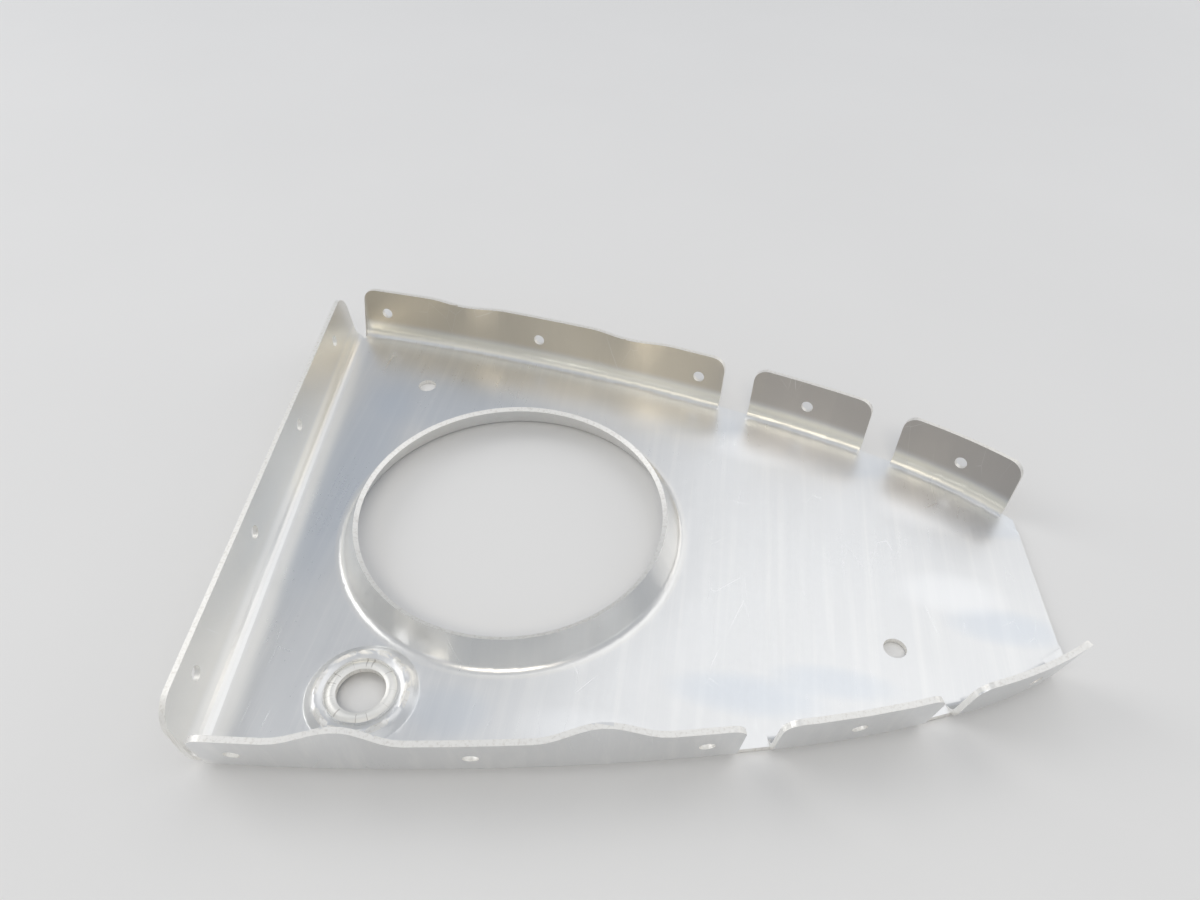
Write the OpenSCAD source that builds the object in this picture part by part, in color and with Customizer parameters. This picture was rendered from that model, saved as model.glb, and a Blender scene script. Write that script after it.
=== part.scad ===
// Aircraft wing nose rib, pressed from one sheet of aluminium and lying on its web.
// X runs forward along the chord line, Y up towards the upper skin, Z off the web's underside.
// The origin is the aft tooling hole, from which the blank is located.

/* [Sheet] */
// Sheet thickness
sheet_t = 1.27; // [0.8:0.01:1.6]
// Inside radius of every flange bend
bend_r = 3; // [2:0.1:4]

/* [Skin contour] */
// Aft datum of the contour, measured aft from the lightening hole
datum_x = 70; // [66:0.5:76]
// Height of the skin fold line above the chord line at the aft datum
datum_h = 73.4; // [70:0.1:77]
// Slope of the fold line towards the chord at the aft datum, degrees
datum_slope = 3.15; // [2:0.05:4]
// Radius of the long aft arc
aft_arc_r = 630; // [560:5:720]
// Length of the long aft arc
aft_arc_len = 138; // [130:0.5:142]
// Radius of the middle arc
mid_arc_r = 255; // [230:1:290]
// Length of the middle arc
mid_arc_len = 43.5; // [40:0.5:47]
// Radius of the nose arc
nose_arc_r = 62; // [56:0.5:70]

/* [Ends] */
// Distance of the spar fold line aft of the lightening hole, on the chord line
spar_aft = 58.7; // [55:0.1:62]
// Tilt of the spar away from square to the chord, degrees
spar_tilt = 7.4; // [4:0.1:9]
// Distance of the plain nose edge forward of the lightening hole, on the chord line
nose_fwd = 128.9; // [125:0.1:131]
// Tilt of the nose edge, degrees
nose_tilt = 4.6; // [2:0.1:7]
// Radius of the relief in each corner between the spar and a skin flange
relief_r = 2.4; // [2.2:0.1:3]

/* [Skin flanges] */
// Height of the skin flanges, along the flange from the inside fold line
skin_h = 15.7; // [14:0.1:18]
// Lean of the upper skin flange out of square, degrees
upper_lean = 6; // [2:0.5:12]
// Lean of the lower skin flange out of square, degrees
lower_lean = 10.5; // [2:0.5:12]
// Places of the two notches in the upper flange, along the fold line from the spar corner
upper_notches = [122.5, 165.4];
// Places of the two notches in the lower flange
lower_notches = [112.9, 153];
// Width of a notch
notch_w = 6.9; // [5:0.1:8]
// How far a notch reaches past the fold line into the web
notch_in = 0.6; // [0.2:0.1:2]
// Corner radius of the tabs
tab_corner_r = 3.8; // [2:0.1:5]
// How far the nose tabs stop short of the nose edge
nose_tab_back = 1.5; // [1:0.1:3]

/* [Flutes] */
// Depth of a flute at the free edge of the upper flange
upper_flute = 1.9; // [0.5:0.1:3]
// Depth of a flute at the free edge of the lower flange
lower_flute = 2.5; // [0.5:0.1:3]
// Width of a flute along the flange
flute_w = 26; // [18:0.5:30]
// How far each flute of the upper flange lies forward of the middle between its rivets
upper_flute_shift = [1.6, 3.8];
// How far each flute of the lower flange lies forward of the middle between its rivets
lower_flute_shift = [-2, 2.4];

/* [Spar flange] */
// Height of the spar flange, along the flange from the inside fold line
spar_h = 16.2; // [14:0.1:18]
// Lean of the spar flange out of square, degrees
spar_lean = 6.5; // [2:0.5:12]
// Corner radius of the spar flange
spar_corner_r = 6; // [3:0.1:8]
// Pitch of the four spar rivets
spar_pitch = 38.1; // [34:0.1:40]
// Place of the spar rivet pattern's middle along the spar, from the chord line
spar_mid = -2.35; // [-5:0.05:2]
// Height of the spar rivet line above the web
spar_rivet_up = 10.2; // [8:0.1:11]

/* [Rivet holes] */
// Diameter of the rivet holes
rivet_d = 3.26; // [2.4:0.02:4.2]
// Height of the skin rivet line above the web
skin_rivet_up = 8.3; // [7.5:0.1:10]
// Distance of the end rivets from the ends of the long tabs
rivet_edge = 7.3; // [6:0.1:9]

/* [Lightening hole] */
// Clear diameter of the lightening hole
hole_d = 75.2; // [60:0.1:76]
// Place of its centre above the chord line
hole_y = -1; // [-3:0.1:3]
// Height of its flared lip above the web
lip_h = 7; // [5:0.1:9]
// Slope of the lip, degrees
lip_slope = 64; // [55:1:70]
// Bend radius where the lip leaves the web
lip_bend_r = 2.2; // [1.5:0.1:2.4]

/* [Beaded hole] */
// Diameter of the small hole near the lower aft corner
bead_hole_d = 10.6; // [9:0.1:12]
// Diameter of the valley between the bead and the rolled rim of the hole
bead_valley_d = 15.6; // [14:0.1:17]
// Diameter of the bead's crest
bead_crest_d = 19.4; // [18:0.1:21]
// Outside diameter of the bead, where it leaves the web
bead_d = 24.6; // [23:0.1:24.8]
// Rise of the crest above the web
bead_rise = 1.3; // [0.6:0.1:1.8]
// Rise of the valley above the web
bead_valley_rise = 0.5; // [0:0.1:1]
// Rise of the rolled rim above the web
bead_rim_rise = 0.9; // [0.3:0.1:1.5]
// Place of the hole along the chord, from the lightening hole
bead_x = -21.2; // [-24:0.1:-18]
// Place of the hole above the chord line
bead_y = -52.8; // [-54:0.1:-50]

/* [Tooling holes] */
// Diameter of the tooling holes
tool_d = 5.2; // [4:0.05:6.4]
// Place of the aft tooling hole along the chord, from the lightening hole
tool_aft_x = -38.2; // [-42:0.1:-34]
// Place of the aft tooling hole above the chord line
tool_aft_y = 50.2; // [46:0.1:54]
// Place of the forward tooling hole along the chord
tool_fwd_x = 92.9; // [86:0.1:98]
// Place of the forward tooling hole above the chord line
tool_fwd_y = -22.7; // [-26:0.1:-18]

/* [Hidden] */
$fn = 96;
// Flat margin of web that the spar flange and each pressed hole carries, half of it overlapping the web
strip_w = 4;
margin_w = 1;
// Facets of a bend, of a flange's wall and of a flute's width
bend_steps = 5;
wall_steps = 3;
flute_steps = 12;
// Lengths of facets along the aft and middle arcs and along the nose arc
arc_step = 10;
nose_step = 4;
// How far cutting tools reach past the sheet
past = 3;
// Clear gap between the bends that meet in a spar corner
corner_gap = 0.9;
deg = 180 / PI;
function reverse(list) = [for (i = [len(list) - 1 : -1 : 0]) list[i]];

// Fold line of the upper skin: headings, start points and centre of each arc
aft_end_slope = datum_slope + aft_arc_len / aft_arc_r * deg;
mid_end_slope = aft_end_slope + mid_arc_len / mid_arc_r * deg;
aft_start = [-datum_x, datum_h];
mid_start = arc_point(aft_start, datum_slope, aft_arc_r, aft_end_slope);
nose_start = arc_point(mid_start, aft_end_slope, mid_arc_r, mid_end_slope);
aft_centre = aft_start - aft_arc_r * out_dir(datum_slope);
nose_centre = nose_start - nose_arc_r * out_dir(mid_end_slope);
mid_from = aft_arc_len;
nose_from = aft_arc_len + mid_arc_len;

// Outward normal of a fold line that slopes down by a given angle, and the way along it
function out_dir(slope) = [sin(slope), cos(slope)];
function along_dir(slope) = [cos(slope), -sin(slope)];
function arc_point(start, slope, r, end_slope) = start + r * (out_dir(end_slope) - out_dir(slope));

// Slope and point of the fold line at a length along it from the aft datum
function slope_at(s) =
    s < mid_from ? datum_slope + s / aft_arc_r * deg
    : s < nose_from ? aft_end_slope + (s - mid_from) / mid_arc_r * deg
    : mid_end_slope + (s - nose_from) / nose_arc_r * deg;
function point_at(s) =
    s < mid_from ? arc_point(aft_start, datum_slope, aft_arc_r, slope_at(s))
    : s < nose_from ? arc_point(mid_start, aft_end_slope, mid_arc_r, slope_at(s))
    : arc_point(nose_start, mid_end_slope, nose_arc_r, slope_at(s));

// Lengths at which the fold line of the upper (1) or lower (-1) side meets the spar and the nose edge
function line_cut(centre, r, side, tilt, x) =
    asin(((x - centre.x) * cos(tilt) - side * centre.y * sin(tilt)) / r) - side * tilt;
function spar_corner(side) =
    (line_cut(aft_centre, aft_arc_r, side, spar_tilt, -spar_aft) - datum_slope) * aft_arc_r / deg;
function nose_corner(side) =
    nose_from
    + (line_cut(nose_centre, nose_arc_r, side, nose_tilt, nose_fwd) - mid_end_slope) * nose_arc_r / deg;

// Values that differ between the upper and the lower side
function lean_of(side) = side > 0 ? upper_lean : lower_lean;
function notches_of(side) = side > 0 ? upper_notches : lower_notches;
function flute_of(side) = side > 0 ? upper_flute : lower_flute;
function shift_of(side) = side > 0 ? upper_flute_shift : lower_flute_shift;

// Distance from a fold line to where the bend begins
function bend_set(lean) = bend_r * tan(45 - lean / 2);

// Ends, rivets and flutes of a side, as lengths from the aft datum
function first_of(side) = spar_corner(side) + bend_set(spar_lean) + corner_gap;
function notch_of(side, i) = spar_corner(side) + notches_of(side)[i];
function last_of(side) = nose_corner(side) - nose_tab_back;
function tabs_of(side) = [
    [first_of(side), notch_of(side, 0) - notch_w / 2],
    [notch_of(side, 0) + notch_w / 2, notch_of(side, 1) - notch_w / 2],
    [notch_of(side, 1) + notch_w / 2, last_of(side)]
];
function middle(tab) = (tab[0] + tab[1]) / 2;
function long_rivets(tab) = [tab[0] + rivet_edge, middle(tab), tab[1] - rivet_edge];
function rivets_of(side) =
    let (tabs = tabs_of(side))
    concat(long_rivets(tabs[0]), [middle(tabs[1]), middle(tabs[2])]);
function flutes_of(side) =
    let (r = rivets_of(side), shift = shift_of(side))
    [for (i = [0, 1]) (r[i] + r[i + 1]) / 2 + shift[i]];
function flute_wave(side, s) =
    max([for (f = flutes_of(side)) abs(s - f) < flute_w / 2 ? (1 + cos((s - f) / flute_w * 360)) / 2 : 0]);

// Section of a flange as [outward, up] points, from the foot of its bend over the top and back underneath.
// dent pushes the free edge inwards and fades to nothing at the bend.
function flange_section(lean, h, dent) =
    concat(half_section(lean, h, dent, 0), reverse(half_section(lean, h, dent, sheet_t)));
function half_section(lean, h, dent, offset) =
    let (set = bend_set(lean), r = bend_r + offset)
    concat(
        [for (i = [0 : bend_steps]) let (a = -90 + (90 - lean) * i / bend_steps)
            [-set + r * cos(a), sheet_t + bend_r + r * sin(a)]],
        [for (k = [1 : wall_steps]) let (
            f = k / wall_steps,
            along = set + (h - set) * f,
            out = offset - dent * pow(f, 1.3))
            [along * sin(lean) + out * cos(lean), sheet_t + along * cos(lean) - out * sin(lean)]]
    );

// How much lower than its full height a flange is in the rounded corner at its spar end
function start_drop(side, s) =
    let (u = tab_corner_r - min(s - first_of(side), tab_corner_r))
    tab_corner_r - sqrt(tab_corner_r * tab_corner_r - u * u);

// Lengths at which the flange section is placed: close together in that corner, the flutes and the nose
function spread(a, b, step) = let (n = ceil((b - a) / step)) [for (i = [0 : n - 1]) a + (b - a) * i / n];
function stations(side) =
    let (
        f = flutes_of(side),
        end = nose_corner(side) + 2 * past,
        fine = flute_w / flute_steps
    )
    concat(
        [for (i = [0 : bend_steps - 1]) first_of(side) + tab_corner_r * (1 - cos(90 * i / bend_steps))],
        spread(first_of(side) + tab_corner_r, f[0] - flute_w / 2, arc_step),
        spread(f[0] - flute_w / 2, f[0] + flute_w / 2, fine),
        spread(f[0] + flute_w / 2, f[1] - flute_w / 2, arc_step),
        spread(f[1] - flute_w / 2, f[1] + flute_w / 2, fine),
        spread(f[1] + flute_w / 2, nose_from, arc_step),
        spread(nose_from, end, nose_step),
        [end]
    );
function place(s, p) = let (q = point_at(s) + p[0] * out_dir(slope_at(s))) [q.x, q.y, p[1]];

// Puts upper-side children on the upper (1) or the lower (-1) side
module on_side(side) {
    if (side > 0) children();
    else mirror([0, 1, 0]) children();
}

// Frame on a skin fold line: x along it, y outwards, z up from the web's upper face
module on_fold(s) {
    p = point_at(s);
    translate([p.x, p.y, sheet_t]) rotate([0, 0, -slope_at(s)]) children();
}

// Frame on a flange's inner face: x along the fold, y out of the flange, z up it
module on_skin_flange(side, s) {
    on_side(side) on_fold(s) rotate([-lean_of(side), 0, 0]) children();
}

// Frame of the spar: x forward, y along its fold line from the chord, z up
module on_spar() {
    translate([-spar_aft, 0, 0]) rotate([0, 0, spar_tilt]) children();
}

// The same frames on the spar flange's inner face, x running along the fold
module on_spar_flange(y) {
    on_spar() translate([0, y, sheet_t]) rotate([0, 0, 90]) rotate([-spar_lean, 0, 0]) children();
}

// Outline that trims a flange's free corner: the flange lies at x above 0 and y below 0
module corner_outline(r, beyond, down) {
    difference() {
        translate([-beyond, -down]) square([beyond + r, down + past]);
        translate([r, -r]) circle(r);
        translate([0, -down - past]) square([2 * r, down + past - r]);
    }
}

// The same outline as a cutter, in a flange's frame, for the corner at the near (1) or far (-1) end
module corner_cutter(way, h, r, beyond, down) {
    translate([0, 0, h]) scale([way, 1, 1]) rotate([90, 0, 0])
        linear_extrude(height = 4 * past, center = true) corner_outline(r, beyond, down);
}

module rivet_cutter(up) {
    translate([0, 0, up]) rotate([90, 0, 0]) cylinder(d = rivet_d, h = 4 * past, center = true);
}

// Everything forward of the nose edge
module nose_outline() {
    translate([nose_fwd, 0]) rotate(nose_tilt) translate([0, -datum_h]) square([datum_h, 2 * datum_h]);
}

// Web with both skin flanges and their flutes, lofted along the two fold lines past the nose edge
module skin_blank() {
    n = len(flange_section(0, skin_h, 0));
    upper = loft_points(1);
    lower = [for (p = loft_points(-1)) [p.x, -p.y, p.z]];
    a = len(upper) / n;
    b = len(lower) / n;
    first = len(upper);
    top = concat([for (i = [0 : a - 1]) i * n], [for (i = [b - 1 : -1 : 0]) first + i * n]);
    under = [for (i = top) i + n - 1];
    ends = [
        [0, first, first + n - 1, n - 1],
        [(a - 1) * n + n - 1, first + (b - 1) * n + n - 1, first + (b - 1) * n, (a - 1) * n]
    ];
    polyhedron(
        concat(upper, lower),
        concat([top, reverse(under)], ends, loft_faces(0, a, n), [for (f = loft_faces(first, b, n)) reverse(f)])
    );
}

// The same with its nose cut off plain
module nosed_blank() {
    difference() {
        skin_blank();
        translate([0, 0, -past]) linear_extrude(height = skin_h + 3 * past) nose_outline();
    }
}

// Points and faces of one side of the loft
function loft_points(side) = [
    for (s = stations(side)) let (h = skin_h - start_drop(side, s), dent = flute_of(side) * flute_wave(side, s))
        for (p = flange_section(lean_of(side), h, dent)) place(s, p)
];
function loft_faces(first, count, n) = concat(
    [for (i = [0 : count - 2]) for (j = [0 : n - 2]) let (p = first + i * n + j)
        each [[p, p + 1, p + n + 1], [p, p + n + 1, p + n]]],
    [[for (j = [n - 1 : -1 : 0]) first + j]],
    [[for (j = [0 : n - 1]) first + (count - 1) * n + j]]
);

// Straight spar flange between the two skin fold lines
module spar_flange() {
    hi = spar_end(1);
    lo = -spar_end(-1);
    on_spar() translate([0, hi, 0]) rotate([90, 0, 0]) linear_extrude(height = hi - lo) mirror([1, 0])
        polygon(concat(
            [[-bend_set(spar_lean) - strip_w, 0], [-bend_set(spar_lean) - strip_w, sheet_t]],
            flange_section(spar_lean, spar_h, 0)
        ));
}

// Length of the spar flange from the chord line to its upper (1) or lower (-1) end
function spar_end(side) =
    point_at(spar_corner(side)).y / cos(spar_tilt) - bend_set(lean_of(side)) - corner_gap;

// Radius at which the lip begins to leave the web, and its section as [radius, height] points
function lip_foot_r() = hole_d / 2 + lip_run();
function lip_run() =
    let (rise = lip_h - (lip_bend_r + sheet_t) * (1 - cos(lip_slope)) - lip_wall_drop())
    (lip_bend_r + sheet_t) * sin(lip_slope) + rise / tan(lip_slope);
function lip_wall_drop() = sheet_t * cos(lip_slope) - sheet_t;
function lip_side(offset) =
    let (foot = lip_foot_r(), r = lip_bend_r + offset)
    concat(
        [[foot + margin_w, sheet_t - offset]],
        [for (i = [0 : bend_steps]) let (a = lip_slope * i / bend_steps)
            [foot - r * sin(a), sheet_t + lip_bend_r - r * cos(a)]],
        [lip_tip(offset)]
    );
function lip_tip(offset) =
    let (
        foot = lip_foot_r(),
        from = [foot - lip_bend_r * sin(lip_slope), sheet_t + lip_bend_r * (1 - cos(lip_slope))],
        long = (sheet_t + lip_h - from.y) / sin(lip_slope),
        way = [-cos(lip_slope), sin(lip_slope)],
        under = [-sin(lip_slope), -cos(lip_slope)]
    )
    from + long * way + offset * under;

// Flared lip of the lightening hole
module lip() {
    top = lip_side(0);
    under = lip_side(sheet_t);
    translate([0, hole_y, 0]) rotate_extrude()
        polygon(concat(top, reverse(under)));
}

// Radii and rises of the bead from its foot over the crest and the valley to the rolled rim and the hole
bead_rim_d = (bead_valley_d + bead_hole_d) / 2;
bead_radii = [bead_d / 2, bead_crest_d / 2, bead_valley_d / 2, bead_rim_d / 2, bead_hole_d / 2];
bead_levels = [0, bead_rise, bead_valley_rise, bead_rim_rise, bead_valley_rise];
bead_steps = 5;
function bead_step(list, k) = list[k + 1] - list[k];
function bead_mid(k, f) = [
    bead_radii[k] + bead_step(bead_radii, k) * f,
    sheet_t / 2 + bead_levels[k] + bead_step(bead_levels, k) * (1 - cos(180 * f)) / 2
];
function bead_turn(k, f) = atan2(bead_step(bead_levels, k) * sin(180 * f) * PI / 2, -bead_step(bead_radii, k));
function bead_side(sign) = concat(
    [[bead_d / 2 + margin_w, sheet_t / 2 + sign * sheet_t / 2]],
    [for (k = [0 : 3]) for (i = [0 : bead_steps - 1]) let (f = i / bead_steps, a = bead_turn(k, f))
        bead_mid(k, f) + sign * sheet_t / 2 * [sin(a), cos(a)]],
    [bead_mid(3, 1) + sign * sheet_t / 2 * [0, 1]]
);

// Beaded hole near the lower aft corner
module bead() {
    top = bead_side(1);
    under = bead_side(-1);
    translate([bead_x, bead_y, 0]) rotate_extrude()
        polygon(concat(top, reverse(under)));
}

// Slot with a round bottom that parts two tabs
module notch_cutter(side, s) {
    on_side(side) on_fold(s) translate([0, notch_w / 2 - notch_in, -sheet_t - past])
        linear_extrude(height = skin_h + sheet_t + 2 * past) {
            circle(d = notch_w);
            translate([-notch_w / 2, 0]) square([notch_w, 4 * past]);
        }
}

// Round relief where the spar's bend and a skin's bend run out beside each other
module relief_cutter(side) {
    s = spar_corner(side);
    inwards = along_dir(spar_tilt * -side) - out_dir(slope_at(s));
    p = point_at(s) + relief_r * 0.55 * inwards;
    on_side(side) translate([p.x, p.y, -past]) cylinder(r = relief_r, h = sheet_t + bend_r + past);
}

// All trims and rivet holes of one skin flange
module skin_cuts(side) {
    tabs = tabs_of(side);
    for (i = [0, 1]) notch_cutter(side, notch_of(side, i));
    for (i = [1, 2]) on_skin_flange(side, tabs[i][0])
        corner_cutter(1, skin_h, tab_corner_r, 1, tab_corner_r);
    for (i = [0, 1]) on_skin_flange(side, tabs[i][1])
        corner_cutter(-1, skin_h, tab_corner_r, 1, tab_corner_r);
    on_skin_flange(side, tabs[2][1])
        corner_cutter(-1, skin_h, tab_corner_r, 4 * past, skin_h - bend_set(lean_of(side)) - 1);
    for (s = rivets_of(side)) on_skin_flange(side, s) rivet_cutter(skin_rivet_up);
    relief_cutter(side);
}

// Trims and rivet holes of the spar flange
module spar_cuts() {
    on_spar_flange(-spar_end(-1)) corner_cutter(1, spar_h, spar_corner_r, 1, spar_corner_r);
    on_spar_flange(spar_end(1)) corner_cutter(-1, spar_h, spar_corner_r, 1, spar_corner_r);
    for (i = [-1.5 : 1.5]) on_spar_flange(spar_mid + i * spar_pitch) rivet_cutter(spar_rivet_up);
}

module tooling_holes() {
    for (p = [[tool_aft_x, tool_aft_y], [tool_fwd_x, tool_fwd_y]])
        translate([p.x, p.y, -past]) cylinder(d = tool_d, h = sheet_t + 2 * past);
}

// Round room for the lip and for the bead, with a given part of their margins
module lip_room(margin) {
    translate([0, hole_y, -past]) cylinder(r = lip_foot_r() + margin, h = sheet_t + 2 * past);
}
module bead_room(margin) {
    translate([bead_x, bead_y, -past]) cylinder(r = bead_d / 2 + margin, h = sheet_t + 2 * past);
}

module wing_rib() {
    color([0.80, 0.81, 0.83]) translate([-tool_aft_x, -tool_aft_y, 0]) {
        difference() {
            nosed_blank();
            skin_cuts(1);
            skin_cuts(-1);
            lip_room(margin_w / 2);
            bead_room(margin_w / 2);
            tooling_holes();
        }
        difference() {
            spar_flange();
            spar_cuts();
            relief_cutter(1);
            relief_cutter(-1);
        }
        difference() {
            lip();
            bead_room(0);
        }
        difference() {
            bead();
            lip_room(0);
        }
    }
}

wing_rib();
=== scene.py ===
"""Pressed aluminium wing nose rib, lying on its web on a pale floor."""
import math
from types import SimpleNamespace

import bmesh
import bpy
from mathutils import Matrix, Vector, noise
from mathutils.bvhtree import BVHTree


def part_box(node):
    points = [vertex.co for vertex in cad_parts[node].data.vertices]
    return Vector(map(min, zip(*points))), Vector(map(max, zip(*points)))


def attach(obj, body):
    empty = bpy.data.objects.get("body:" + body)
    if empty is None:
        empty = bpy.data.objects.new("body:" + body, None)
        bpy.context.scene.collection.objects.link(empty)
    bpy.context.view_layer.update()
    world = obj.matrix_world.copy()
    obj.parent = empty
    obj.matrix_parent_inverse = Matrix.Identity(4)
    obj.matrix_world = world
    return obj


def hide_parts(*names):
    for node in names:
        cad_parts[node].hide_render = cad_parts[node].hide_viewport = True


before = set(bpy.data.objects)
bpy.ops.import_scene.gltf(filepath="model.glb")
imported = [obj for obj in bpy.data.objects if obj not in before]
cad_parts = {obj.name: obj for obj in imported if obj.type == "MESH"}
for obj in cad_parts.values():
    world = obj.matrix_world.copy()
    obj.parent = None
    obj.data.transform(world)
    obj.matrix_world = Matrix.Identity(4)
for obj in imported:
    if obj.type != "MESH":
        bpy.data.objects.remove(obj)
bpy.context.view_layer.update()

MM = 0.001
UPPER = 1
LOWER = -1

# Sheet and flanges, in millimetres
SHEET_T = 1.27
FLANGE_H = 15.7
LEAN = {UPPER: math.radians(6.0), LOWER: math.radians(10.5)}
# How far inside the fold line a cut has to start to take the whole bend off
BEND_FOOT = {UPPER: 3.0, LOWER: 2.8}

# Pressed holes: centres in the row frame, and radii
LIGHTENING_HOLE = (38.2, -51.2)
LIP_FOOT_R = 43.6
BEADED_HOLE = (17.0, -103.0)
BEAD_R = 12.3
RIM_R = 7.7
# How far the finished bead stands higher than the solid has it: radius and rise
BEAD_LIFT = [(5.3, 1.1), (7.8, 0.7), (9.7, 0.4), (BEAD_R, 0.0)]
# The stretches between those radii lap by this much, and where they lap their rises add up to a crease
BEAD_LAP = 0.2

# Spar: where its fold line crosses the chord line, and its tilt
CHORD_Y = -50.2
SPAR_X = -20.5
SPAR_TILT = math.radians(7.4)
# Length along the spar from the chord line past which its flange runs on, and by how much
SPAR_ENDS = {UPPER: (62.0, 1.5), LOWER: (61.4, 3.6)}
# Length over which that sets in, and where it fades out across the spar's bend
SPAR_END_EASE = 1.2
SPAR_FADE = (1.2, 2.6)

# Fold line of the skin flanges: start as x and height off the chord line, slope, arcs as length and radius
FOLD_START = (-31.8, 73.4)
FOLD_SLOPE = math.radians(3.15)
FOLD_ARCS = [(138.0, 630.0), (43.5, 255.0), (40.0, 100.0)]
# Length along it from which the skins stand further apart at the nose than the solid has them,
# by how much per length squared, and the depth inside the fold line over which that fades
NOSE_FROM = 181.5
NOSE_SPREAD = 0.0036
NOSE_FADE = (8.0, 24.0)

# Notches between the tabs, as lengths along the fold line, half widths and the tabs' corner radii
NOTCH_AT = {UPPER: (125.18, 167.38), LOWER: (133.50, 173.90)}
NOTCH_HALF = {UPPER: 4.45, LOWER: 3.7}
TAB_START_R = 3.8
TAB_END_R = {UPPER: 3.8, LOWER: 1.6}
CORNER_STEPS = 6
# Where the nose tabs end and where the fold line meets the nose edge
NOSE_TAB_END = {UPPER: 202.92, LOWER: 205.69}
NOSE_CORNER = {UPPER: 205.92, LOWER: 210.397}
# How far cutters reach outwards, up and down, and how far the left sheet laps the web and the tabs
PAST_OUT = 14.0
PAST_UP = 4.0
PAST_DOWN = 2.0
LAP_WEB = 0.9
LAP_TAB = 0.3

# Soft waves pressed into the web beside the notches: x, y, reach and rise in millimetres
WEB_WAVES = [
    (92, -9, 13, 0.26),
    (128, -21, 12, 0.30),
    (108, -89, 12, 0.24),
    (136, -79, 11, 0.26),
    (152, -47, 15, 0.20),
    (64, 2, 20, 0.14),
    (88, -60, 24, 0.12),
    (-14, -40, 20, 0.10),
    (50, -106, 16, 0.14),
]
# A fine ripple over the whole web: length, rise and the slice of the noise that it comes from
RIPPLE_LENGTH = 26.0
RIPPLE_RISE = 0.05
RIPPLE_SLICE = 3.1
# Distance from the lip and the bead over which the waves set in
WAVE_EASE = 8.0

# Patches where the buckled web mirrors a cooler part of the room: x, y, half length, half width, amount
COOL_PATCHES = [
    (98, -90, 16, 5, 0.40),
    (117, -84, 13, 4, 0.35),
    (157, -63, 13, 5, 0.40),
    (159, -30, 14, 5, 0.35),
    (126, -14, 14, 5, 0.25),
    (82, -4, 16, 5, 0.25),
    (-10, -38, 10, 46, 0.45),
    (14, -8, 26, 12, 0.35),
    (36, -104, 9, 6, 0.30),
]

# Patches where it mirrors the lamp instead
BRIGHT_PATCHES = [
    (60, 2, 36, 9, 0.55),
    (108, -11, 22, 7, 0.60),
    (148, -28, 16, 7, 0.60),
    (146, -55, 12, 6, 0.40),
    (66, -104, 14, 5, 0.35),
]
PATCH_FADE = 1.6
MOST_PATCH = 0.8

# Tones of the sheet and the floor; a pair is the two ends of a clouding or of file marks
WEB_TONES = ((0.76, 0.77, 0.78, 1), (0.84, 0.845, 0.845, 1))
STREAK_TONE = (0.90, 0.90, 0.89, 1)
COOL_TONE = (0.62, 0.685, 0.77, 1)
BRIGHT_TONE = (0.97, 0.98, 0.99, 1)
# Painted reflection on the upper flange's inner faces: tan aft and darker at the nose, each clouded
# between two tones
AFT_FLANGE_REFLECTION_TONES = ((0.60, 0.525, 0.40, 1), (0.70, 0.63, 0.50, 1))
NOSE_FLANGE_REFLECTION_TONES = ((0.42, 0.385, 0.35, 1), (0.52, 0.485, 0.445, 1))
# Painted reflection: the spar flange's inner face painted pale cream
SPAR_REFLECTION_TONE = (0.85, 0.83, 0.78, 1)
# Painted highlights: cream along the upper bend, near white along the spar bend
UPPER_BEND_HIGHLIGHT_TONE = (0.97, 0.93, 0.80, 1)
SPAR_BEND_HIGHLIGHT_TONE = (0.97, 0.965, 0.95, 1)
# Painted highlight: the rolled rim paler and cream
RIM_HIGHLIGHT_TONE = (0.92, 0.91, 0.87, 1)
TICK_TONE = (0.50, 0.48, 0.45, 1)
# Painted highlight: the lip paler and cream
LIP_HIGHLIGHT_TONE = (0.90, 0.89, 0.86, 1)
# Sheared edges: their own duller tone with file marks, made pale by a painted highlight
FILED_EDGE_AND_HIGHLIGHT_TONES = ((0.94, 0.93, 0.90, 1), (0.80, 0.78, 0.74, 1))
SCRATCH_TONE = (0.95, 0.95, 0.95, 1)
FLOOR_TONES = ((0.80, 0.80, 0.80, 1), (0.84, 0.84, 0.84, 1))

# How fine the sheet's mesh is cut in x and y, and the distances at which its points merge
GRID = (40, 30)
GRID_MERGE = 0.01 * MM
MERGE = 0.002 * MM
# A face is a sheared edge where the sheet behind it is deeper than this, as rays from just inside find it
EDGE_THROUGH = 1.4 * MM
RAY_START = 0.02 * MM
RAY_REACH = 10.0 * MM
SHARP_ANGLE = math.radians(48)

# The camera that the photograph was taken with: place in metres, ways it looks, and lens in millimetres
CAMERA_AT = (0.07939, -0.19248, 0.16576)
CAMERA_RIGHT = (0.9885, 0.1504, 0.0157)
CAMERA_AHEAD = (-0.0989, 0.7215, -0.6853)
LENS = 25.78

# Studio lamps: name, place and size in metres, power in watts, colour
LAMPS = [
    ("overhead", (0.35, 0.42, 1.0), (1.0, 0.9), 1.75, (1.0, 0.98, 0.95)),
    ("left_window", (-0.85, 0.15, 0.6), (0.6, 0.8), 2.6, (1.0, 0.98, 0.95)),
    ("right_back", (1.0, 0.75, 0.45), (0.9, 0.6), 1.5, (1.0, 0.96, 0.90)),
    ("front_warm", (0.10, -0.75, 0.85), (0.5, 0.3), 2.2, (1.0, 0.92, 0.78)),
]
LAMP_AIM = (0.065, -0.05, 0.0)
ROOM_TONE = (0.90, 0.93, 0.98, 1)
ROOM_STRENGTH = 0.56
FLOOR_HALF = 4.0


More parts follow.
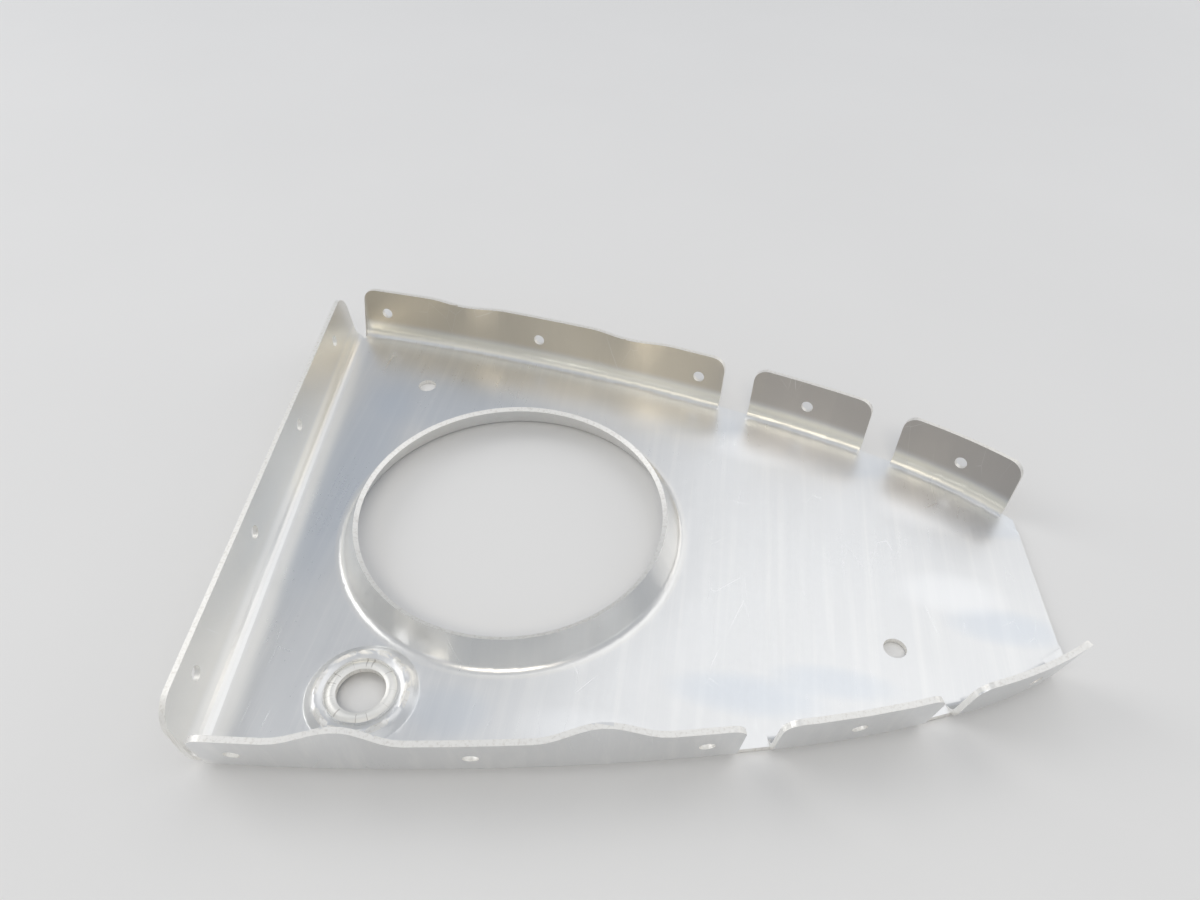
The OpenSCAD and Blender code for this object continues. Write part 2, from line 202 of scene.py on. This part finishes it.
class Socket:
    """A shader value that can be written in an expression."""

    def __init__(self, finish, link):
        self.finish = finish
        self.link = link

    def _math(self, operation, a, b=0.0):
        return self.finish.node("ShaderNodeMath", {"operation": operation}, {0: a, 1: b})

    def __add__(self, other):
        return self._math("ADD", self, other)

    __radd__ = __add__

    def __sub__(self, other):
        return self._math("SUBTRACT", self, other)

    def __rsub__(self, other):
        return self._math("SUBTRACT", other, self)

    def __mul__(self, other):
        return self._math("MULTIPLY", self, other)

    __rmul__ = __mul__

    def __truediv__(self, other):
        return self._math("DIVIDE", self, other)

    def __pow__(self, other):
        return self._math("POWER", self, other)

    def low(self, other):
        return self._math("MINIMUM", self, other)


class Finish:
    """A material under construction."""

    def __init__(self, name):
        self.material = bpy.data.materials.new(name)
        self.material.use_nodes = True
        self.tree = self.material.node_tree
        self.tree.nodes.clear()
        self.place = self.node("ShaderNodeTexCoord", output=3)

    def node(self, kind, settings=None, inputs=None, output=0):
        made = self.tree.nodes.new(kind)
        for key, value in (settings or {}).items():
            setattr(made, key, value)
        for key, value in (inputs or {}).items():
            if isinstance(value, Socket):
                self.tree.links.new(value.link, made.inputs[key])
            else:
                made.inputs[key].default_value = value
        return Socket(self, made.outputs[output]) if made.outputs else None

    def along(self, axis):
        """The place along an axis, in millimetres."""
        return self.node("ShaderNodeSeparateXYZ", None, {0: self.place}, output=axis) / MM

    def step(self, value, low, high):
        """0 below low, 1 above high, and smooth between."""
        return self.node(
            "ShaderNodeMapRange",
            {"interpolation_type": "SMOOTHSTEP"},
            {"Value": value, "From Min": low, "From Max": high},
        )

    def blend(self, amount, a, b):
        """Colour a where amount is 0 and b where it is 1."""
        return self.node("ShaderNodeMix", {"data_type": "RGBA"}, {0: amount, 6: a, 7: b}, output=2)

    def noise(self, vector, scale, detail=2.0, roughness=0.5):
        return self.node(
            "ShaderNodeTexNoise",
            None,
            {"Vector": vector, "Scale": scale, "Detail": detail, "Roughness": roughness},
        )

    def stretched(self, scale, turn=0.0):
        """The place with its axes turned and scaled, for a pattern that runs one way."""
        return self.node(
            "ShaderNodeMapping",
            None,
            {"Vector": self.place, "Rotation": (0.0, 0.0, turn), "Scale": scale},
        )

    def surface(self, **inputs):
        """Finish the material with one shader; an underscore in a name stands for a space."""
        named = {key.replace("_", " "): value for key, value in inputs.items()}
        shader = self.node("ShaderNodeBsdfPrincipled", None, named)
        self.node("ShaderNodeOutputMaterial", None, {"Surface": shader})
        return self.material


def patches(f, x, y, rows):
    """Soft oval patches: how much of them covers each place."""
    cover = 0.0
    for at_x, at_y, long, wide, amount in rows:
        off_x = (x - at_x) / long
        off_y = (y - at_y) / wide
        cover = cover + (1 - f.step(off_x * off_x + off_y * off_y, 0.0, PATCH_FADE)) * amount
    return cover.low(MOST_PATCH)


def sheet_zones(f):
    """Which part of the rib a place belongs to, each from 0 to 1, and the place in millimetres."""
    x, y, z = (f.along(axis) for axis in range(3))
    spar = (x - SPAR_X) * math.cos(SPAR_TILT) + (y - CHORD_Y) * math.sin(SPAR_TILT)
    hole_x = x - LIGHTENING_HOLE[0]
    hole_y = y - LIGHTENING_HOLE[1]
    bead_x = x - BEADED_HOLE[0]
    bead_y = y - BEADED_HOLE[1]
    hole_r = (hole_x * hole_x + hole_y * hole_y) ** 0.5
    bead_r = (bead_x * bead_x + bead_y * bead_y) ** 0.5
    off_lip = f.step(hole_r, LIP_FOOT_R, LIP_FOOT_R + 1.0)
    on_spar = 1 - f.step(spar, 1.5, 5.0)
    on_bead = 1 - f.step(bead_r, BEAD_R - 1.0, BEAD_R + 1.0)
    on_rim = 1 - f.step(bead_r, RIM_R - 0.5, RIM_R + 0.5)
    upper_side = f.step(y, CHORD_Y - 4.8, CHORD_Y + 5.2)
    standing = f.step(z, 3.5, 7.5) * off_lip
    bend_height = f.step(z, 1.6, 2.4) * (1 - f.step(z, 4.2, 6.2))
    around = f.node("ShaderNodeMath", {"operation": "ARCTAN2"}, {0: bead_y, 1: bead_x})
    tick_noise = f.node(
        "ShaderNodeTexNoise", {"noise_dimensions": "1D"}, {"W": around, "Scale": 9.0, "Detail": 2.0}
    )
    return SimpleNamespace(
        x=x,
        y=y,
        cut=f.node("ShaderNodeAttribute", {"attribute_name": "cut_edge"}, output=2),
        on_spar=on_spar,
        on_lip=1 - off_lip,
        on_bead=on_bead,
        on_rim=on_rim,
        spar_flange=standing * on_spar,
        upper_flange=standing * (1 - on_spar) * upper_side,
        # Bands for the painted highlights along the upper bend and the spar bend
        upper_bend_highlight=bend_height * off_lip * upper_side * (1 - on_bead),
        spar_bend_highlight=(1 - f.step(spar, 3.5, 6.5)) * (1 - f.step(z, 4.0, 7.0)),
        ticks=f.step(tick_noise, 0.64, 0.70) * on_rim * f.step(bead_r, 5.4, 6.0),
    )


def sheet_marks(f):
    """Mill grain along the spar, clouding, specks, file marks and scratches of the sheet."""
    scratch_cells = f.node(
        "ShaderNodeTexVoronoi",
        {"feature": "DISTANCE_TO_EDGE"},
        {"Vector": f.stretched((150.0, 42.0, 60.0), 0.5), "Scale": 1.0},
    )
    scratch_areas = f.step(f.noise(f.place, 60.0, 1.0), 0.56, 0.66)
    return SimpleNamespace(
        grain=f.noise(f.stretched((2600.0, 60.0, 260.0), -SPAR_TILT), 1.0, 3.0, 0.6),
        broad_grain=f.noise(f.stretched((420.0, 14.0, 60.0), -SPAR_TILT), 1.0),
        cloud=f.noise(f.place, 26.0, 3.0, 0.55),
        speck=f.noise(f.place, 900.0, 2.0, 0.7),
        file=f.noise(f.stretched((1500.0, 1500.0, 60.0)), 1.0, 2.0, 0.6),
        scratch=(1 - f.step(scratch_cells, 0.0, 0.006)) * scratch_areas,
    )


def sheet_tone(f, zone, mark):
    """Colour of the sheet: cool bright web with painted reflection patches, tan upper flange as a painted
    reflection, creamy bends as painted highlights, pale spar flange, rim and lip as painted reflection and
    highlight, and pale cut edges, partly their own tone with file marks and partly a painted highlight.
    """
    streak = f.step(mark.broad_grain, 0.45, 0.75) * 0.4 + f.step(mark.grain, 0.5, 0.8) * 0.35
    web = f.blend(mark.cloud, *WEB_TONES)
    web = f.blend(streak, web, STREAK_TONE)
    web = f.blend(patches(f, zone.x, zone.y, COOL_PATCHES), web, COOL_TONE)
    web = f.blend(patches(f, zone.x, zone.y, BRIGHT_PATCHES), web, BRIGHT_TONE)

    # Painted reflection on the upper flange's inner faces: tan aft, darker towards the nose
    aft_flange_reflection = f.blend(mark.cloud, *AFT_FLANGE_REFLECTION_TONES)
    nose_flange_reflection = f.blend(mark.cloud, *NOSE_FLANGE_REFLECTION_TONES)
    painted_flange_reflection = f.blend(f.step(zone.x, 75.0, 105.0), aft_flange_reflection, nose_flange_reflection)
    # Cut edges: their own tone with file marks, and a painted highlight that makes them pale
    edge = f.blend(f.step(mark.file, 0.45, 0.75), *FILED_EDGE_AND_HIGHLIGHT_TONES)

    tone = f.blend(zone.upper_flange * 0.85, web, painted_flange_reflection)
    # Painted reflection: pale cream on the spar flange
    tone = f.blend(zone.spar_flange * 0.6, tone, SPAR_REFLECTION_TONE)
    # Painted highlights along the upper bend and the spar bend
    tone = f.blend(zone.upper_bend_highlight * 0.75, tone, UPPER_BEND_HIGHLIGHT_TONE)
    tone = f.blend(zone.spar_bend_highlight * 0.7, tone, SPAR_BEND_HIGHLIGHT_TONE)
    # Painted highlight: the rim paler and cream; the ticks on it are dark marks
    tone = f.blend(zone.on_rim * 0.8, tone, RIM_HIGHLIGHT_TONE)
    tone = f.blend(zone.ticks * 0.6, tone, TICK_TONE)
    # Painted highlight: the lip paler and cream
    tone = f.blend(zone.on_lip * 0.5, tone, LIP_HIGHLIGHT_TONE)
    # Cut edges take the pale tone: partly their own, partly a painted highlight
    tone = f.blend(zone.cut * 0.85, tone, edge)
    return f.blend(mark.scratch * 0.35, tone, SCRATCH_TONE)


def rolled_sheet():
    """Satin rolled aluminium, rougher where it is rubbed, rolled or filed."""
    f = Finish("rolled_sheet")
    zone = sheet_zones(f)
    mark = sheet_marks(f)
    rough = 0.32 + 0.14 * (mark.grain - 0.5) + 0.16 * (mark.cloud - 0.5) + 0.08 * (mark.speck - 0.5)
    rough = rough + zone.upper_flange * 0.10 + zone.cut * 0.14 - mark.scratch * 0.08
    rough = rough + zone.on_bead * 0.06 + zone.on_rim * 0.10 + zone.on_spar * 0.10
    height = mark.grain * 0.5 + mark.speck * 0.18 + mark.file * zone.cut * 0.6 + mark.scratch * -0.5
    bump = f.node("ShaderNodeBump", None, {"Strength": 0.16, "Distance": 0.06 * MM, "Height": height})
    tone = sheet_tone(f, zone, mark)
    return f.surface(Base_Color=tone, Roughness=rough, Metallic=1.0, Normal=bump)


def pale_floor():
    """Plain pale studio floor."""
    f = Finish("pale_floor")
    mottle = f.noise(f.place, 9.0, 3.0)
    return f.surface(Base_Color=f.blend(mottle, *FLOOR_TONES), Roughness=0.7)


def smooth(value, low, high):
    """0 below low, 1 above high, and smooth between."""
    f = min(max((value - low) / (high - low), 0.0), 1.0)
    return f * f * (3.0 - 2.0 * f)


def fold_line(side, length):
    """Point of a fold line at a length from its start, with the ways along it and outwards."""
    x, height = FOLD_START
    slope = FOLD_SLOPE
    for arc, radius in FOLD_ARCS:
        run = min(length, arc)
        end = slope + run / radius
        x += radius * (math.sin(end) - math.sin(slope))
        height += radius * (math.cos(end) - math.cos(slope))
        slope = end
        length -= run
    along = Vector((math.cos(slope), -side * math.sin(slope), 0.0))
    out = Vector((math.sin(slope), side * math.cos(slope), 0.0))
    return Vector((x, CHORD_Y + side * height, 0.0)), along, out


def bead_lift(x, y):
    """How much higher the finished bead stands than the solid's."""
    ring = math.hypot(x - BEADED_HOLE[0], y - BEADED_HOLE[1])
    lift = 0.0
    for (r0, lift0), (r1, lift1) in zip(BEAD_LIFT, BEAD_LIFT[1:]):
        if r0 - BEAD_LAP <= ring <= r1:
            lift += lift0 + (lift1 - lift0) * smooth(ring, r0, r1)
    return lift


def spar_run(x, y):
    """How far up the spar a place at one of its ends moves, so that the flange runs on."""
    across = (x - SPAR_X) * math.cos(SPAR_TILT) + (y - CHORD_Y) * math.sin(SPAR_TILT)
    along = (y - CHORD_Y) * math.cos(SPAR_TILT) - (x - SPAR_X) * math.sin(SPAR_TILT)
    on_flange = 1.0 - smooth(across, *SPAR_FADE)
    run = 0.0
    for side, (past, more) in SPAR_ENDS.items():
        run += side * more * smooth(side * along, past, past + SPAR_END_EASE) * on_flange
    return run


def nose_y(x, y):
    """Where a place comes to lie in y as the skins spread at the nose."""
    for side in (UPPER, LOWER):
        start, along, out = fold_line(side, NOSE_FROM)
        off = Vector((x, y, 0.0)) - start
        run = max(off.dot(along), 0.0)
        y += side * NOSE_SPREAD * run * run * (1.0 - smooth(-off.dot(out), *NOSE_FADE))
    return y


def drawn_out(co):
    """A place on the solid moved to where the finished sheet has it."""
    x, y, z = (value / MM for value in co)
    z += bead_lift(x, y)
    run = spar_run(x, y)
    x -= run * math.sin(SPAR_TILT)
    y += run * math.cos(SPAR_TILT)
    return Vector((x, nose_y(x, y), z)) * MM


def prism(name, outline, way):
    """A closed prism over a flat outline, swept along a vector; both in millimetres."""
    bm = bmesh.new()
    face = bm.faces.new([bm.verts.new(point * MM) for point in outline])
    swept = bmesh.ops.extrude_face_region(bm, geom=[face])
    moved = [v for v in swept["geom"] if isinstance(v, bmesh.types.BMVert)]
    bmesh.ops.translate(bm, verts=moved, vec=way * MM)
    bmesh.ops.recalc_face_normals(bm, faces=bm.faces)
    mesh = bpy.data.meshes.new(name)
    bm.to_mesh(mesh)
    bm.free()
    return bpy.data.objects.new(name, mesh)


def tab_corner(way, at, radius, top):
    """Rounded upper corner of the tab that ends at a length and lies that way from it."""
    turns = [math.radians(90 * i / CORNER_STEPS) for i in range(CORNER_STEPS + 1)]
    return [
        (at + way * radius * (1 - math.cos(turn)), top - radius * (1 - math.sin(turn))) for turn in turns
    ]


def flange_cutter(side, at, aft, forward, forward_r):
    """Takes the flange and its bend off, from a length aft to a length forward of a place."""
    place, along, out = fold_line(side, at)
    foot = BEND_FOOT[side]
    top = SHEET_T + FLANGE_H * math.cos(LEAN[side])
    aft_r = TAB_END_R[side]
    profile = [(-aft, -PAST_DOWN)]
    profile += tab_corner(-1, -aft, aft_r, top)
    profile += [(-aft - aft_r, top + PAST_UP), (forward + forward_r, top + PAST_UP)]
    if forward_r:
        profile += reversed(tab_corner(1, forward, forward_r, top))
    profile.append((forward, -PAST_DOWN))
    start = place - foot * out
    outline = [start + a * along + Vector((0.0, 0.0, z)) for a, z in profile]
    return prism("notch", outline, (foot + PAST_OUT) * out)


def notch_sheet(side, at):
    """Flat sheet that stays in a notch, out to the fold line."""
    place, along, out = fold_line(side, at)
    half = (NOTCH_HALF[side] + LAP_TAB) * along
    inner = -(BEND_FOOT[side] + LAP_WEB) * out
    plan = [place - half, place + half, place + half + inner, place - half + inner]
    return prism("tongue", plan, Vector((0.0, 0.0, SHEET_T)))


def nose_sheet(side):
    """Flat sheet from the end of a nose tab to the nose edge."""
    place, along, out = fold_line(side, NOSE_TAB_END[side])
    corner = fold_line(side, NOSE_CORNER[side])[0]
    other = fold_line(-side, NOSE_CORNER[-side])[0]
    width = BEND_FOOT[side] + LAP_WEB
    lapped = place - LAP_TAB * along
    plan = [lapped, corner, corner + width * (other - corner).normalized(), lapped - width * out]
    return prism("tongue", plan, Vector((0.0, 0.0, SHEET_T)))


def trimmed(mesh):
    """The blank with its notches cut square and flat sheet left in them."""
    blank = bpy.data.objects.new("blank", mesh)
    cutters = []
    sheets = []
    for side in (UPPER, LOWER):
        half = NOTCH_HALF[side]
        cutters += [flange_cutter(side, at, half, half, TAB_START_R) for at in NOTCH_AT[side]]
        cutters.append(flange_cutter(side, NOSE_TAB_END[side], 0.0, PAST_OUT, 0.0))
        sheets += [notch_sheet(side, at) for at in NOTCH_AT[side]]
        sheets.append(nose_sheet(side))

    used = [blank] + cutters + sheets
    for piece in used:
        bpy.context.collection.objects.link(piece)
    for operation, tools in (("DIFFERENCE", cutters), ("UNION", sheets)):
        for tool in tools:
            trim = blank.modifiers.new("trim", "BOOLEAN")
            trim.operation = operation
            trim.solver = "EXACT"
            trim.object = tool

    done = blank.evaluated_get(bpy.context.evaluated_depsgraph_get())
    bm = bmesh.new()
    bm.from_mesh(done.to_mesh())
    done.to_mesh_clear()
    for piece in used:
        data = piece.data
        bpy.data.objects.remove(piece)
        bpy.data.meshes.remove(data)
    return bm


def blank_sheet():
    """A merged copy of the solid with the finished sheet's bead, spar ends, nose and notches."""
    bm = bmesh.new()
    bm.from_mesh(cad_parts["wing_rib"].data)
    bmesh.ops.remove_doubles(bm, verts=bm.verts, dist=MERGE)
    for vert in bm.verts:
        vert.co = drawn_out(vert.co)
    mesh = bpy.data.meshes.new("blank")
    bm.to_mesh(mesh)
    bm.free()
    bm = trimmed(mesh)
    bmesh.ops.remove_doubles(bm, verts=bm.verts, dist=MERGE)
    bmesh.ops.dissolve_degenerate(bm, edges=bm.edges, dist=MERGE)
    return bm


def cut_finer(bm):
    """Bisect the sheet along a grid, so that it can take soft waves."""
    low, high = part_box("wing_rib")
    for axis, count in enumerate(GRID):
        normal = Vector((0.0, 0.0, 0.0))
        normal[axis] = 1.0
        for i in range(1, count):
            point = normal * (low[axis] + (high[axis] - low[axis]) * i / count)
            geom = bm.verts[:] + bm.edges[:] + bm.faces[:]
            bmesh.ops.bisect_plane(bm, geom=geom, dist=GRID_MERGE, plane_co=point, plane_no=normal)


def mark_edges(bm):
    """Mark the sheared faces, and keep the edges of the sheet sharp."""
    bm.normal_update()
    bm.faces.ensure_lookup_table()
    tree = BVHTree.FromBMesh(bm)
    mark = bm.faces.layers.float.new("cut_edge")
    for face in bm.faces:
        inside = face.calc_center_median() - face.normal * RAY_START
        depth = tree.ray_cast(inside, -face.normal, RAY_REACH)[3]
        face[mark] = 1.0 if depth is None or depth > EDGE_THROUGH else 0.0
        face.smooth = True
    for edge in bm.edges:
        if len(edge.link_faces) == 2:
            edge.smooth = edge.calc_face_angle(0.0) < SHARP_ANGLE


def web_wave(x, y):
    """Rise of the web's soft waves at a place, none in the lip and the bead."""
    rise = 0.0
    for at_x, at_y, reach, height in WEB_WAVES:
        off = ((x - at_x) ** 2 + (y - at_y) ** 2) / (reach * reach)
        rise += height * math.exp(-off)
    ripple = noise.noise(Vector((x / RIPPLE_LENGTH, y / RIPPLE_LENGTH, RIPPLE_SLICE)))
    rise += RIPPLE_RISE * (1.0 + ripple)
    off_lip = math.hypot(x - LIGHTENING_HOLE[0], y - LIGHTENING_HOLE[1]) - LIP_FOOT_R
    off_bead = math.hypot(x - BEADED_HOLE[0], y - BEADED_HOLE[1]) - BEAD_R
    return rise * smooth(min(off_lip, off_bead), 0.0, WAVE_EASE)


def pressed_rib(material):
    """The sheet as it left the press."""
    bm = blank_sheet()
    cut_finer(bm)
    mark_edges(bm)
    for vert in bm.verts:
        vert.co.z += web_wave(vert.co.x / MM, vert.co.y / MM) * MM

    mesh = bpy.data.meshes.new("pressed_rib")
    bm.to_mesh(mesh)
    bm.free()
    mesh.materials.append(material)
    rib = bpy.data.objects.new("pressed_rib", mesh)
    bpy.context.collection.objects.link(rib)
    weigh = rib.modifiers.new("weigh_normals", "WEIGHTED_NORMAL")
    weigh.mode = "FACE_AREA"
    weigh.keep_sharp = True
    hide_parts("wing_rib")
    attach(rib, "root")
    return rib


def floor():
    """Wide flat ground under the rib."""
    bm = bmesh.new()
    bmesh.ops.create_grid(bm, x_segments=2, y_segments=2, size=FLOOR_HALF)
    mesh = bpy.data.meshes.new("floor")
    bm.to_mesh(mesh)
    bm.free()
    mesh.materials.append(pale_floor())
    plane = bpy.data.objects.new("floor", mesh)
    bpy.context.collection.objects.link(plane)


def panel(name, place, size, power, colour):
    """A soft rectangular studio lamp, turned to the middle of the rib."""
    lamp = bpy.data.lights.new(name, "AREA")
    lamp.shape = "RECTANGLE"
    lamp.size, lamp.size_y = size
    lamp.energy = power
    lamp.color = colour
    holder = bpy.data.objects.new(name, lamp)
    holder.location = place
    holder.rotation_euler = (Vector(LAMP_AIM) - Vector(place)).to_track_quat("-Z", "Y").to_euler()
    bpy.context.collection.objects.link(holder)


def studio():
    """Pale room with soft lamps above, left, behind and in front."""
    world = bpy.data.worlds.new("studio")
    bpy.context.scene.world = world
    world.use_nodes = True
    back = world.node_tree.nodes["Background"]
    back.inputs["Color"].default_value = ROOM_TONE
    back.inputs["Strength"].default_value = ROOM_STRENGTH
    for lamp in LAMPS:
        panel(*lamp)


def camera():
    """The photograph's point of view."""
    data = bpy.data.cameras.new("camera")
    data.sensor_width = 36.0
    data.lens = LENS
    data.clip_start = 0.01
    holder = bpy.data.objects.new("camera", data)
    ahead = Vector(CAMERA_AHEAD).normalized()
    up = Vector(CAMERA_RIGHT).cross(ahead).normalized()
    right = ahead.cross(up).normalized()
    turn = Matrix((right, up, -ahead)).transposed().to_4x4()
    holder.matrix_world = Matrix.Translation(CAMERA_AT) @ turn
    bpy.context.collection.objects.link(holder)
    bpy.context.scene.camera = holder


camera()
pressed_rib(rolled_sheet())
floor()
studio()
bpy.context.scene.view_settings.view_transform = "Standard"
